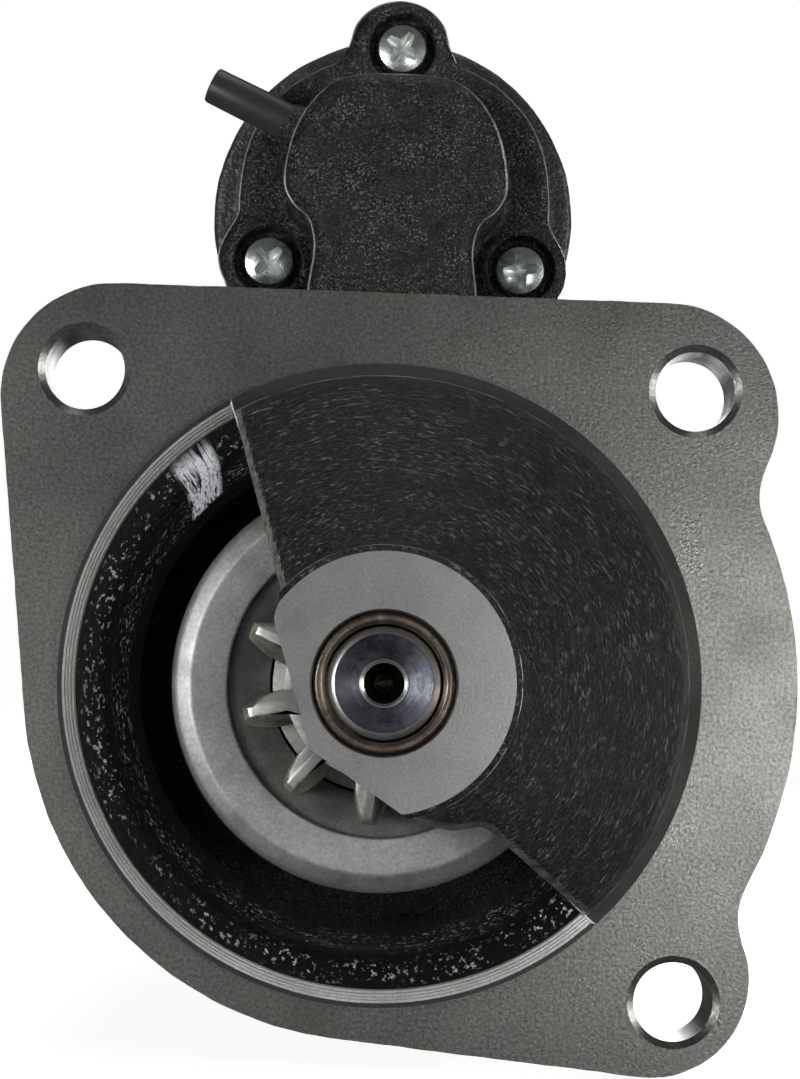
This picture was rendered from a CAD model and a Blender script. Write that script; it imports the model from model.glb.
"""The looks of a starter motor: fine meshes and materials around its CAD frame.

The shaft lies along y through x = z = 0, the nose at the front (-y), the commutator end at the
back (+y) and the solenoid above (+z). The mounting face is the plane y = 0. Sizes are in
millimetres unless said otherwise; the meshes are in metres.
"""

from math import acos, atan2, copysign, cos, degrees, hypot, pi, radians, sin, sqrt, tan

import bmesh
import bpy
import numpy as np
from mathutils import Matrix, Vector
from mathutils.noise import fractal


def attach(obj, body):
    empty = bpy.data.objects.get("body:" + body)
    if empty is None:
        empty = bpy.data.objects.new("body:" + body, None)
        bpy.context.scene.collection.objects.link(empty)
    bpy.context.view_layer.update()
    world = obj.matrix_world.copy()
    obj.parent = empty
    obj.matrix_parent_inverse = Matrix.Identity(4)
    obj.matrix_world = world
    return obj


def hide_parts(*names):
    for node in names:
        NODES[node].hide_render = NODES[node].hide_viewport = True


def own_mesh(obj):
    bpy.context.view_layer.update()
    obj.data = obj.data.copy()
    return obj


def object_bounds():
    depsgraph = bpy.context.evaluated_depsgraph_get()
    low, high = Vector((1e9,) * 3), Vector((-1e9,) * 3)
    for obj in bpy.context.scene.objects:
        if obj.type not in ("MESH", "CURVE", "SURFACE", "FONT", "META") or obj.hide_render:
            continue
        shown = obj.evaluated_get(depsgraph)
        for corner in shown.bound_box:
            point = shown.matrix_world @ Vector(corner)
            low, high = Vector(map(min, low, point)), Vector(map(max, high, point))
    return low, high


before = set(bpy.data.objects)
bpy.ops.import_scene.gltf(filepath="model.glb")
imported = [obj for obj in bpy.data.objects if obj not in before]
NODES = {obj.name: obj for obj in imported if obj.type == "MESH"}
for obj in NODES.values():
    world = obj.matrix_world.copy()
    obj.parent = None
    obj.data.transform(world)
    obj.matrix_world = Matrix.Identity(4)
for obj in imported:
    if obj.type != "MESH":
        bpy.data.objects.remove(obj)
CAD_BOX = [list(v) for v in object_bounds()]
MM = 0.001
ALONG_Y = Matrix.Rotation(-pi / 2, 4, "X")     # local +z becomes world +y


# ------------------------------------------------------------------ placing
def along_y(x=0, z=0):
    """A frame whose z axis runs along world +y through (x, z)."""
    return Matrix.Translation((x, 0, z)) @ ALONG_Y


def aim(point, direction):
    """A frame at a point whose z axis runs along a direction."""
    turn = Vector(direction).normalized().to_track_quat("Z", "Y")
    return Matrix.Translation(Vector(point)) @ turn.to_matrix().to_4x4()


def radial(angle, y):
    """A frame on the shaft line whose z axis points outward at an angle in degrees."""
    a = radians(angle)
    out, along = Vector((cos(a), 0, sin(a))), Vector((0, 1, 0))
    at = Matrix((along.cross(out), along, out)).transposed().to_4x4()
    at.translation = Vector((0, y, 0))
    return at


def place(ob, at):
    at = at.copy()
    at.translation = at.translation * MM
    ob.data.transform(at)
    if at.determinant() < 0:
        ob.data.flip_normals()
    return ob


# ------------------------------------------------------------------ shared dimensions
SOLENOID_Z = 78.2
SOLENOID = along_y(z=SOLENOID_Z)
PIVOT = aim((0, 42, 47.5), (1, 0, 0))
VENT = aim((-13.2, 38, 86.9), (-0.910, 0, 0.415))
THROUGH_BOLT_X = 40.2
BEARING_SCREW_Z = 15.7
YOKE_RADIUS, YOKE_FRONT, YOKE_BACK = 49.0, 66.3, 176.0
POLE_ANGLES, POLE_Y = (45, 135, 225, 315), 122
MOUNT = 62.5 * sqrt(0.5)                       # mounting holes on a circle of radius 62.5
MOUNT_HOLES = ((-MOUNT, MOUNT), (MOUNT, MOUNT), (MOUNT, -MOUNT))
SOLENOID_SCREWS = [(0.4 + 23.5 * cos(radians(a)), 79.75 + 23.4 * sin(radians(a)))
                   for a in (90, 210, 330)]


# ------------------------------------------------------------------ flat outlines
def corner_arc(corner, before, after, radius, steps, widest):
    """The points that round a corner, or the corner alone where it is too flat or too short."""
    sharp = [tuple(corner)]
    u, v = before - corner, after - corner
    u_length, v_length = u.length, v.length
    if radius <= 0 or u_length < 1e-6 or v_length < 1e-6:
        return sharp
    u, v = u / u_length, v / v_length
    angle = u.angle(v)
    if angle > radians(widest) or angle < 0.02:
        return sharp
    back = min(radius / tan(angle / 2), u_length * 0.48, v_length * 0.48)
    fitted = back * tan(angle / 2)
    centre = corner + (u + v).normalized() * (fitted / sin(angle / 2))
    start, end = corner + u * back - centre, corner + v * back - centre
    turn = pi - angle
    arms = [(k / steps, start, end) for k in range(steps + 1)]
    return [tuple(centre + (a * sin((1 - t) * turn) + b * sin(t * turn)) / sin(turn))
            for t, a, b in arms]


def rounded(points, radius, steps, closed=True, widest=160):
    """An outline with its corners made arcs; a point's third value is its own radius."""
    out, count = [], len(points)
    for i, point in enumerate(points):
        corner = Vector(point[:2])
        if not closed and i in (0, count - 1):
            out.append(tuple(corner))
            continue
        before, after = Vector(points[i - 1][:2]), Vector(points[(i + 1) % count][:2])
        wanted = point[2] if len(point) == 3 else radius
        out += corner_arc(corner, before, after, wanted, steps, widest)
    return out


def smooth_line(points, closed=False, steps=6):
    """Catmull-Rom through hand-placed points."""
    out, m = [], len(points)
    for i in range(m if closed else m - 1):
        p0 = Vector(points[(i - 1) % m] if closed or i > 0 else points[i])
        p1, p2 = Vector(points[i]), Vector(points[(i + 1) % m])
        p3 = Vector(points[(i + 2) % m] if closed or i + 2 < m else points[(i + 1) % m])
        for k in range(steps):
            t = k / steps
            out.append(tuple(0.5 * ((2 * p1) + (p2 - p0) * t
                                    + (2 * p0 - 5 * p1 + 4 * p2 - p3) * t * t
                                    + (3 * p1 - p0 - 3 * p2 + p3) * t ** 3)))
    if not closed:
        out.append(tuple(points[-1]))
    return out


def offset(points, distance):
    """The outline moved outward (negative: inward) along each corner's normal."""
    m = len(points)
    area = sum(points[i][0] * points[(i + 1) % m][1] - points[(i + 1) % m][0] * points[i][1]
               for i in range(m))
    side = 1 if area > 0 else -1
    out = []
    for i, p in enumerate(points):
        along = Vector(points[(i + 1) % m][:2]) - Vector(points[i - 1][:2])
        if along.length < 1e-9:
            out.append(p[:2])
            continue
        along.normalize()
        out.append((p[0] + along.y * distance * side, p[1] - along.x * distance * side))
    return out


def arc(cx, cz, radius, start, end, steps):
    """Points on a circle between two angles in degrees."""
    angles = [radians(start + (end - start) * i / steps) for i in range(steps + 1)]
    return [(cx + radius * cos(a), cz + radius * sin(a)) for a in angles]


# ------------------------------------------------------------------ mesh helpers
def add(name, mesh):
    ob = bpy.data.objects.new(name, mesh)
    bpy.context.scene.collection.objects.link(ob)
    return ob


def add_bmesh(name, bm):
    mesh = bpy.data.meshes.new(name)
    bm.to_mesh(mesh)
    bm.free()
    return add(name, mesh)


def from_data(name, verts, faces):
    mesh = bpy.data.meshes.new(name)
    mesh.from_pydata([tuple(c * MM for c in v) for v in verts], [], faces)
    bm = bmesh.new()
    bm.from_mesh(mesh)
    bmesh.ops.recalc_face_normals(bm, faces=bm.faces)
    bm.to_mesh(mesh)
    bm.free()
    return add(name, mesh)


def lathe(name, profile, segments=160, at=ALONG_Y):
    """A (radius, height) profile turned about local z; it is a ring unless it ends on the axis."""
    verts, rows = [], []
    circle = [(cos(2 * pi * k / segments), sin(2 * pi * k / segments)) for k in range(segments)]
    for r, h in profile:
        if r < 1e-6:
            rows.append([len(verts)])
            verts.append((0, 0, h))
        else:
            rows.append(list(range(len(verts), len(verts) + segments)))
            verts += [(r * x, r * y, h) for x, y in circle]
    faces = []
    for a, b in zip(rows, rows[1:] + rows[:1]):
        if len(a) == 1 and len(b) == 1:
            continue
        for k in range(segments):
            j = (k + 1) % segments
            if len(a) == 1:
                faces.append((a[0], b[j], b[k]))
            elif len(b) == 1:
                faces.append((a[k], a[j], b[0]))
            else:
                faces.append((a[k], a[j], b[j], b[k]))
    return place(from_data(name, verts, faces), at)


def soft_lathe(name, profile, radius, steps, segments, at=ALONG_Y):
    """A lathe body with its corners rounded; ends on the axis are left alone."""
    closed = profile[0][0] > 0
    return lathe(name, rounded(profile, radius, steps, closed), segments, at)


def cylinder(name, radius, z0, z1, segments=64, at=ALONG_Y):
    return lathe(name, [(0, z0), (radius, z0), (radius, z1), (0, z1)], segments, at)


def loft(name, sections, close=False):
    """A skin through rings of equal count, capped unless the last ring joins the first."""
    n, count = len(sections[0]), len(sections)
    verts = [p for section in sections for p in section]
    faces = []
    for a in range(count if close else count - 1):
        b = (a + 1) % count
        for i in range(n):
            j = (i + 1) % n
            faces.append((a * n + i, a * n + j, b * n + j, b * n + i))
    if not close:
        faces.append(tuple(range(n)))
        faces.append(tuple(range((count - 1) * n, count * n))[::-1])
    return from_data(name, verts, faces)


def prism(name, outline, front, back, edge=0.0, steps=3):
    """An (x, z) outline between two y planes, with its rims rounded off by edge."""
    stations = [(front, 0), (back, 0)]
    if edge > 0:
        angles = [pi / 2 * k / steps for k in range(steps + 1)]
        rim = [(front + edge * (1 - cos(a)), edge * (1 - sin(a))) for a in angles]
        stations = rim + [(back - (y - front), inset) for y, inset in rim[::-1]]
    return loft(name, [[(x, y, z) for x, z in (offset(outline, -inset) if inset else outline)]
                       for y, inset in stations])


def box(name, x0, x1, y0, y1, z0, z1, at=None, bevel=0.0):
    bm = bmesh.new()
    bmesh.ops.create_cube(bm, size=1.0)
    size = Matrix.Diagonal(((x1 - x0) * MM, (y1 - y0) * MM, (z1 - z0) * MM, 1))
    move = Matrix.Translation(((x0 + x1) / 2 * MM, (y0 + y1) / 2 * MM, (z0 + z1) / 2 * MM))
    bmesh.ops.transform(bm, matrix=move @ size, verts=bm.verts)
    if bevel:
        bmesh.ops.bevel(bm, geom=bm.edges[:], offset=bevel * MM, segments=3, affect="EDGES",
                        profile=0.5)
    ob = add_bmesh(name, bm)
    return place(ob, at) if at is not None else ob


def hex_body(name, across, z0, z1, at, both=False):
    """A hexagon with its corners turned off at the top, and at the foot too for a nut."""
    r, half = across / sqrt(3), across / 2
    corners = [(r * cos(pi / 3 * k + pi / 6), r * sin(pi / 3 * k + pi / 6)) for k in range(6)]
    ob = place(loft(name, [[(x, y, z) for x, y in corners] for z in (z0, z1)]), at)
    drop = (r - half) * 0.62
    if both:
        foot = [(half * 0.985, z0 - 0.001), (r + 0.3, z0 + drop + 0.05)]
    else:
        foot = [(r + 0.3, z0 - 0.001), (r + 0.3, z0 + 0.05)]
    profile = [(0, z0 - 0.001), *foot, (r + 0.3, z1 - drop - 0.05), (half * 0.985, z1 + 0.001),
               (0, z1 + 0.001)]
    return boolean(ob, lathe("corner cone", profile, 96, at), "INTERSECT")


def threads(start, end, radius, depth, pitch, crest):
    """Profile points of whole thread turns; the crest ends at this share of the pitch."""
    points, y = [], start
    while y + pitch < end:
        points += [(radius - depth, y), (radius, y + pitch * 0.45), (radius, y + pitch * crest)]
        y += pitch
    return points


def applied(ob):
    """The object with its modifiers made real."""
    bpy.context.view_layer.update()
    graph = bpy.context.evaluated_depsgraph_get()
    mesh = bpy.data.meshes.new_from_object(ob.evaluated_get(graph))
    old = ob.data
    ob.modifiers.clear()
    ob.data = mesh
    if old.users == 0:
        bpy.data.meshes.remove(old)
    return ob


def boolean(body, tool, how="DIFFERENCE"):
    """Combines a tool into the body; the exact solver steps in where the fast one changes nothing."""
    before = len(body.data.vertices)
    for solver in ("MANIFOLD", "EXACT"):
        mod = body.modifiers.new("cut", "BOOLEAN")
        mod.operation, mod.solver, mod.object = how, solver, tool
        bpy.context.view_layer.update()
        result = body.evaluated_get(bpy.context.evaluated_depsgraph_get())
        count = len(result.data.vertices)
        if count and count != before:
            break
        body.modifiers.remove(mod)
    if body.modifiers:
        applied(body)
    bpy.data.objects.remove(tool, do_unlink=True)
    return body


def cut(body, *tools):
    for tool in tools:
        body = boolean(body, tool)
    return body


def join(body, *others):
    for other in others:
        body = boolean(body, other, "UNION")
    return body


def heap(name, objects):
    """Bodies held in one mesh without merging them."""
    bm = bmesh.new()
    for ob in objects:
        bm.from_mesh(ob.data)
        bpy.data.objects.remove(ob, do_unlink=True)
    return add_bmesh(name, bm)


def read_vectors(items, key):
    """One vector per mesh element, as an array."""
    values = np.zeros(len(items) * 3)
    items.foreach_get(key, values)
    return values.reshape(-1, 3)


# ------------------------------------------------------------------ shader helpers
MEAN_RADIUS = 0.030      # metres; turns an angle about the shaft into a length
SPREAD = (0.3, 0.7)      # where most of a noise's values lie


class Nodes:
    """Shorthand for wiring one shader tree."""

    def __init__(self, tree):
        self.tree = tree

    def add(self, kind, **settings):
        node = self.tree.nodes.new("ShaderNode" + kind)
        for key, value in settings.items():
            setattr(node, key, value)
        return node

    def feed(self, socket, value):
        if isinstance(value, bpy.types.NodeSocket):
            self.tree.links.new(value, socket)
        else:
            socket.default_value = value

    def math(self, operation, *values, clamp=False):
        node = self.add("Math", operation=operation, use_clamp=clamp)
        for socket, value in zip(node.inputs, values):
            self.feed(socket, value)
        return node.outputs[0]

    def times(self, a, b, clamp=False):
        return self.math("MULTIPLY", a, b, clamp=clamp)

    def ramp(self, value, low, high, start=0.0, end=1.0):
        """The value's span low to high mapped to start to end."""
        node = self.add("MapRange")
        names = ("Value", "From Min", "From Max", "To Min", "To Max")
        for name, given in zip(names, (value, low, high, start, end)):
            self.feed(node.inputs[name], given)
        return node.outputs["Result"]

    def band(self, value, low, high, soft):
        """One between low and high, with soft ends."""
        return self.times(self.ramp(value, low - soft, low + soft),
                          self.ramp(value, high - soft, high + soft, 1.0, 0.0))

    def mix(self, factor, a, b):
        node = self.add("Mix", data_type="RGBA")
        for socket, colour in ((node.inputs[6], a), (node.inputs[7], b)):
            self.feed(socket, (*colour, 1) if isinstance(colour, tuple) else colour)
        self.feed(node.inputs[0], factor)
        return node.outputs[2]

    def scaled(self, colour, amount):
        node = self.add("VectorMath", operation="SCALE")
        self.feed(node.inputs[0], colour)
        self.feed(node.inputs["Scale"], amount)
        return node.outputs[0]

    def position(self, stretch=None):
        """Object coordinates, stretched if asked."""
        out = self.add("TexCoord").outputs["Object"]
        if stretch is None:
            return out
        mapping = self.add("Mapping")
        mapping.inputs["Scale"].default_value = stretch
        self.feed(mapping.inputs["Vector"], out)
        return mapping.outputs["Vector"]

    def split(self, vector):
        node = self.add("SeparateXYZ")
        self.feed(node.inputs[0], vector)
        return node.outputs

    def combine(self, *parts):
        node = self.add("CombineXYZ")
        for socket, part in zip(node.inputs, parts):
            self.feed(socket, part)
        return node.outputs[0]

    def radius(self, x, z):
        return self.math("SQRT", self.math("ADD", self.times(x, x), self.times(z, z)))

    def turned(self):
        """Coordinates that vary only with radius and along the shaft, for lathe marks."""
        x, y, z = self.split(self.position())
        z = self.math("SUBTRACT", z, 0.0)      # height above the shaft
        return self.combine(self.radius(x, z), y)

    def noise(self, scale, detail=3.0, roughness=0.55, distortion=0.0, vector=None):
        node = self.add("TexNoise")
        node.inputs["Scale"].default_value = scale
        node.inputs["Detail"].default_value = detail
        node.inputs["Roughness"].default_value = roughness
        node.inputs["Distortion"].default_value = distortion
        self.feed(node.inputs["Vector"], self.position() if vector is None else vector)
        return node.outputs["Fac"]

    def streaks(self, scale, long):
        """Noise drawn out along the circumference about the shaft, by the factor long."""
        x, y, z = self.split(self.position())
        turn = self.times(self.math("ARCTAN2", z, x), MEAN_RADIUS / long)
        vector = self.combine(self.radius(x, z), y, turn)
        return self.noise(scale, 3, 0.62, distortion=0.5, vector=vector)

    def cells(self, scale, stretch):
        node = self.add("TexVoronoi", feature="F1")
        node.inputs["Scale"].default_value = scale
        self.feed(node.inputs["Vector"], self.position(stretch))
        return node.outputs["Distance"]

    def relief(self, kind, scale, stretch=None):
        """The height pattern of one bump."""
        if kind == "turned":
            return self.noise(scale, 2, 0.7, vector=self.turned())
        if kind == "streak":
            return self.streaks(scale, stretch)
        if kind == "cells":
            return self.cells(scale, stretch)
        return self.noise(scale, 3, 0.6, vector=self.position(stretch))


def new_material(name):
    material = bpy.data.materials.new(name)
    material.use_nodes = True
    return material, Nodes(material.node_tree), material.node_tree.nodes["Principled BSDF"]


MATERIALS = {}


def surface(name, base, *, rough, vary, grain, bumps, metal=0.0, rough_vary=0.08, specular=0.5,
            coat=(0.0, 0.1), rings=0.0, stain=None, specks=None, speck_long=None, edge=None):
    """One procedural finish.

    vary, grain: (share of the colour, noise scale) of the broad drift and of the fine grain
    bumps: (kind, noise scale, height in mm) and, where it has one, the pattern's stretch
    coat: (weight, roughness);  rings: share of the colour that varies in lathe rings
    stain, specks: (colour, noise scale, noise level where it starts, level where it is full)
    speck_long: how far specks are drawn out about the shaft
    edge: (colour, pointiness where wear starts, pointiness where it is full)
    """
    material, nodes, principled = new_material(name)
    MATERIALS[name] = material
    share, vary_scale = vary
    dark = tuple(c * (1 - share) for c in base)
    light = tuple(min(1.0, c * (1 + share)) for c in base)
    colour = nodes.mix(nodes.ramp(nodes.noise(vary_scale, 4), *SPREAD), dark, light)
    share, scale = grain
    fine = nodes.noise(scale, 2, 0.6)
    colour = nodes.scaled(colour, nodes.ramp(fine, *SPREAD, 1 - share, 1 + share))
    if rings:
        marks = nodes.noise(3500, 2, 0.7, vector=nodes.turned())
        colour = nodes.scaled(colour, nodes.ramp(marks, *SPREAD, 1 - rings, 1 + rings))
    if stain:
        tint, scale, low, high = stain
        blots = nodes.ramp(nodes.noise(scale, 6, 0.65, distortion=0.6), low, high)
        colour = nodes.mix(blots, colour, tint)
    if specks:
        tint, scale, low, high = specks
        dots = nodes.streaks(scale, speck_long) if speck_long else nodes.noise(scale, 2, 0.6)
        patches = nodes.ramp(nodes.noise(260, 3, 0.6), 0.30, 0.62)
        colour = nodes.mix(nodes.times(nodes.ramp(dots, low, high), patches), colour, tint)
    if edge:
        tint, low, high = edge
        wear = nodes.ramp(nodes.add("NewGeometry").outputs["Pointiness"], low, high)
        broken = nodes.ramp(nodes.noise(400, 4, 0.7), 0.35, 0.65)
        colour = nodes.mix(nodes.times(wear, broken, clamp=True), colour, tint)
    roughness = nodes.ramp(nodes.noise(vary_scale * 2.3, 5, 0.6), *SPREAD,
                           max(0.03, rough - rough_vary), min(1, rough + rough_vary))
    for socket, value in (("Base Color", colour), ("Roughness", roughness), ("Metallic", metal),
                          ("Specular IOR Level", specular), ("Coat Weight", coat[0]),
                          ("Coat Roughness", coat[1])):
        nodes.feed(principled.inputs[socket], value)
    normal = None
    for kind, scale, height, *stretch in bumps:
        bump = nodes.add("Bump")
        bump.inputs["Strength"].default_value = 1.0
        bump.inputs["Distance"].default_value = height * MM
        nodes.feed(bump.inputs["Height"], nodes.relief(kind, scale, *stretch))
        if normal is not None:
            nodes.feed(bump.inputs["Normal"], normal)
        normal = bump.outputs["Normal"]
    nodes.feed(principled.inputs["Normal"], normal)


# ------------------------------------------------------------------ finishes: the casting
surface("casting_black", (0.0058, 0.0060, 0.0060), rough=0.27, vary=(0.35, 120),
        grain=(0.35, 1800), specular=0.27,
        bumps=[("noise", 420, 0.12), ("noise", 1200, 0.30), ("noise", 2300, 0.26)],
        edge=((0.06, 0.06, 0.056), 0.54, 0.64), specks=((0.165, 0.168, 0.165), 2700, 0.53, 0.66))
surface("cone_black", (0.0070, 0.0074, 0.0072), rough=0.35, vary=(0.35, 110), grain=(0.4, 1700),
        bumps=[("noise", 300, 0.10), ("streak", 1350, 0.85, 2.0), ("noise", 2000, 0.34)],
        edge=((0.05, 0.05, 0.046), 0.56, 0.68), specular=0.38,
        specks=((0.20, 0.205, 0.198), 1700, 0.55, 0.66), speck_long=1.9)
surface("machined_face", (0.200, 0.205, 0.186), rough=0.30, metal=0.90, vary=(0.09, 26),
        grain=(0.36, 1900), rough_vary=0.05, rings=0.05,
        bumps=[("noise", 2300, 0.032), ("turned", 2600, 0.008)],
        stain=((0.15, 0.150, 0.130), 16, 0.56, 0.80))
surface("turned_iron", (0.80, 0.805, 0.77), rough=0.48, metal=0.8, vary=(0.14, 70),
        grain=(0.14, 2400), rough_vary=0.06, rings=0.30,
        bumps=[("turned", 2000, 0.05), ("noise", 2600, 0.012)])
surface("hub_face", (0.385, 0.39, 0.37), rough=0.30, metal=0.92, vary=(0.06, 60),
        grain=(0.13, 2800), rough_vary=0.04, rings=0.03,
        bumps=[("noise", 2800, 0.012), ("turned", 3000, 0.006)])
surface("pilot_ring", (0.050, 0.053, 0.046), rough=0.42, metal=0.75, vary=(0.12, 60),
        grain=(0.2, 2200), bumps=[("turned", 2200, 0.01)])
surface("flange_rim", (0.030, 0.030, 0.029), rough=0.36, vary=(0.35, 120), grain=(0.4, 1800),
        bumps=[("noise", 420, 0.12), ("noise", 1200, 0.28)],
        specks=((0.15, 0.152, 0.15), 2300, 0.54, 0.66))
surface("rough_shoulder", (0.19, 0.19, 0.175), rough=0.48, metal=0.5, vary=(0.5, 320),
        grain=(0.5, 1400), bumps=[("streak", 1500, 0.35, 2.0), ("noise", 2400, 0.08)])
surface("bore_wall", (0.13, 0.13, 0.12), rough=0.40, metal=0.7, vary=(0.25, 160),
        grain=(0.15, 2200), bumps=[("turned", 1500, 0.02), ("noise", 1800, 0.03)])
surface("sawn_edge", (0.20, 0.195, 0.175), rough=0.50, metal=0.35, vary=(0.45, 300),
        grain=(0.5, 1500), bumps=[("noise", 1100, 0.20), ("noise", 2600, 0.08)],
        stain=((0.04, 0.038, 0.033), 420, 0.50, 0.66))
surface("inner_gloss", (0.004, 0.004, 0.0045), rough=0.13, vary=(0.3, 90), grain=(0.1, 2200),
        rough_vary=0.06, coat=(0.5, 0.06), specular=0.6,
        bumps=[("noise", 170, 0.5, (1.0, 0.22, 1.0)), ("noise", 620, 0.55, (1.0, 0.6, 1.0)),
               ("noise", 1700, 0.10)])

# ------------------------------------------------------------------ finishes: shaft and clutch
surface("bush_bronze", (0.15, 0.120, 0.092), rough=0.34, metal=0.85, vary=(0.35, 260),
        grain=(0.2, 1600), rough_vary=0.1, bumps=[("noise", 1600, 0.025)],
        stain=((0.30, 0.29, 0.26), 300, 0.58, 0.78))
surface("ground_steel", (0.50, 0.51, 0.49), rough=0.26, metal=1.0, vary=(0.10, 160),
        grain=(0.06, 2200), rough_vary=0.06, bumps=[("turned", 3600, 0.004)], rings=0.06)
surface("shaft_end_blue", (0.085, 0.090, 0.108), rough=0.30, metal=1.0, vary=(0.25, 320),
        grain=(0.14, 2200), bumps=[("turned", 2400, 0.012)], rings=0.25,
        stain=((0.13, 0.13, 0.13), 420, 0.54, 0.80))
surface("shaft_chamfer", (0.55, 0.555, 0.53), rough=0.36, metal=1.0, vary=(0.10, 260),
        grain=(0.10, 2200), rough_vary=0.05, bumps=[("noise", 1800, 0.01)])
surface("centre_hole", (0.17, 0.155, 0.085), rough=0.25, metal=1.0, vary=(0.3, 500),
        grain=(0.2, 2200), bumps=[("noise", 1500, 0.01)])
surface("pressed_steel", (0.42, 0.425, 0.415), rough=0.52, metal=0.9, vary=(0.10, 90),
        grain=(0.18, 1900), rough_vary=0.07,
        bumps=[("noise", 1700, 0.02), ("turned", 1400, 0.006)],
        stain=((0.19, 0.19, 0.18), 110, 0.48, 0.80))
surface("oiled_washer", (0.125, 0.135, 0.120), rough=0.36, metal=0.6, vary=(0.3, 150),
        grain=(0.2, 2200), bumps=[("noise", 900, 0.02)],
        stain=((0.10, 0.10, 0.09), 160, 0.55, 0.8))
surface("pinion_steel", (0.26, 0.26, 0.24), rough=0.40, metal=0.9, vary=(0.18, 180),
        grain=(0.15, 1700), bumps=[("noise", 1400, 0.02)],
        stain=((0.12, 0.11, 0.085), 140, 0.52, 0.76))
surface("pinion_bevel", (0.46, 0.435, 0.36), rough=0.44, metal=0.8, vary=(0.3, 220),
        grain=(0.25, 1500), bumps=[("noise", 1300, 0.04)],
        stain=((0.07, 0.062, 0.046), 180, 0.48, 0.70))
surface("pinion_face", (0.52, 0.52, 0.49), rough=0.36, metal=0.88, vary=(0.12, 200),
        grain=(0.14, 1800), rough_vary=0.06, bumps=[("noise", 1500, 0.02)],
        stain=((0.26, 0.24, 0.19), 170, 0.56, 0.80))
surface("worn_edge", (0.70, 0.70, 0.68), rough=0.30, metal=1.0, vary=(0.15, 300),
        grain=(0.1, 2200), bumps=[("noise", 1500, 0.01)])

# ------------------------------------------------------------------ finishes: the other parts
surface("zinc_plate", (0.72, 0.77, 0.77), rough=0.25, metal=1.0, vary=(0.05, 300),
        grain=(0.05, 2200), rough_vary=0.05, bumps=[("noise", 1100, 0.006)],
        stain=((0.50, 0.55, 0.54), 260, 0.55, 0.85))
surface("recess_floor", (0.66, 0.71, 0.67), rough=0.46, metal=0.85, vary=(0.1, 300),
        grain=(0.1, 2200), bumps=[("noise", 1500, 0.01)])
surface("black_rubber", (0.036, 0.0365, 0.0355), rough=0.40, specular=0.3, vary=(0.2, 120),
        grain=(0.15, 2200), bumps=[("noise", 900, 0.03)])
surface("satin_black_paint", (0.012, 0.0125, 0.013), rough=0.30, vary=(0.15, 50),
        grain=(0.06, 2200), rough_vary=0.07, coat=(0.25, 0.15),
        bumps=[("noise", 240, 0.02), ("noise", 900, 0.006)],
        edge=((0.09, 0.09, 0.088), 0.56, 0.66))
surface("moulded_phenolic", (0.022, 0.018, 0.016), rough=0.38, vary=(0.2, 160),
        grain=(0.25, 900), bumps=[("noise", 700, 0.02)])
surface("bare_copper", (0.58, 0.29, 0.17), rough=0.30, metal=1.0, vary=(0.15, 120),
        grain=(0.06, 2200), rough_vary=0.1, bumps=[("noise", 900, 0.01)],
        stain=((0.26, 0.13, 0.08), 120, 0.5, 0.8))
surface("copper_braid", (0.50, 0.26, 0.15), rough=0.42, metal=1.0, vary=(0.3, 700),
        grain=(0.3, 2200), bumps=[("cells", 1400, 0.25, (1.0, 0.5, 0.5))])
surface("varnished_copper", (0.33, 0.12, 0.045), rough=0.28, metal=0.6, vary=(0.2, 150),
        grain=(0.1, 2200), coat=(0.5, 0.12), bumps=[("noise", 900, 0.10, (1.0, 0.15, 1.0))])
surface("varnished_tape", (0.20, 0.11, 0.055), rough=0.5, vary=(0.25, 120), grain=(0.2, 1200),
        coat=(0.3, 0.25), bumps=[("noise", 900, 0.08, (0.3, 1.0, 0.3))])
surface("stacked_laminations", (0.30, 0.30, 0.31), rough=0.42, metal=0.9, vary=(0.12, 100),
        grain=(0.08, 2200), bumps=[("noise", 700, 0.03, (0.02, 2.0, 0.02))])
surface("commutator_copper", (0.55, 0.30, 0.18), rough=0.24, metal=1.0, vary=(0.1, 90),
        grain=(0.05, 2200), bumps=[("turned", 1600, 0.01)])
surface("oiled_steel", (0.13, 0.13, 0.13), rough=0.36, metal=0.9, vary=(0.15, 120),
        grain=(0.1, 2200), bumps=[("noise", 1200, 0.015)])
surface("plain_steel", (0.42, 0.42, 0.41), rough=0.30, metal=1.0, vary=(0.1, 120),
        grain=(0.06, 2200), bumps=[("noise", 1500, 0.008)])
surface("spring_wire", (0.35, 0.35, 0.36), rough=0.26, metal=1.0, vary=(0.1, 300),
        grain=(0.05, 2200), bumps=[("noise", 1500, 0.01)])
surface("brush_carbon", (0.055, 0.050, 0.048), rough=0.48, metal=0.5, vary=(0.2, 260),
        grain=(0.25, 2200), bumps=[("noise", 1600, 0.03)])
surface("parting_line", (0.27, 0.265, 0.245), rough=0.45, metal=0.3, vary=(0.4, 500),
        grain=(0.3, 2200), bumps=[("noise", 900, 0.05)])


def granules(nodes, radius, y):
    """Bare specks in the ring at the mouth and in a belt further in; lengths in metres."""
    mouth = nodes.times(nodes.band(radius, 0.0402, 0.0430, 0.0005), 0.95)
    zone = nodes.math("ADD", mouth, nodes.band(y, 0.012, 0.032, 0.005))
    patches = nodes.ramp(nodes.noise(140, 3, 0.6), 0.38, 0.60)
    dots = nodes.noise(1350, 2.5, 0.65, vector=nodes.position((1.0, 0.5, 0.75)))
    return nodes.times(nodes.times(zone, patches, clamp=True), nodes.ramp(dots, 0.57, 0.64))


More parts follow.
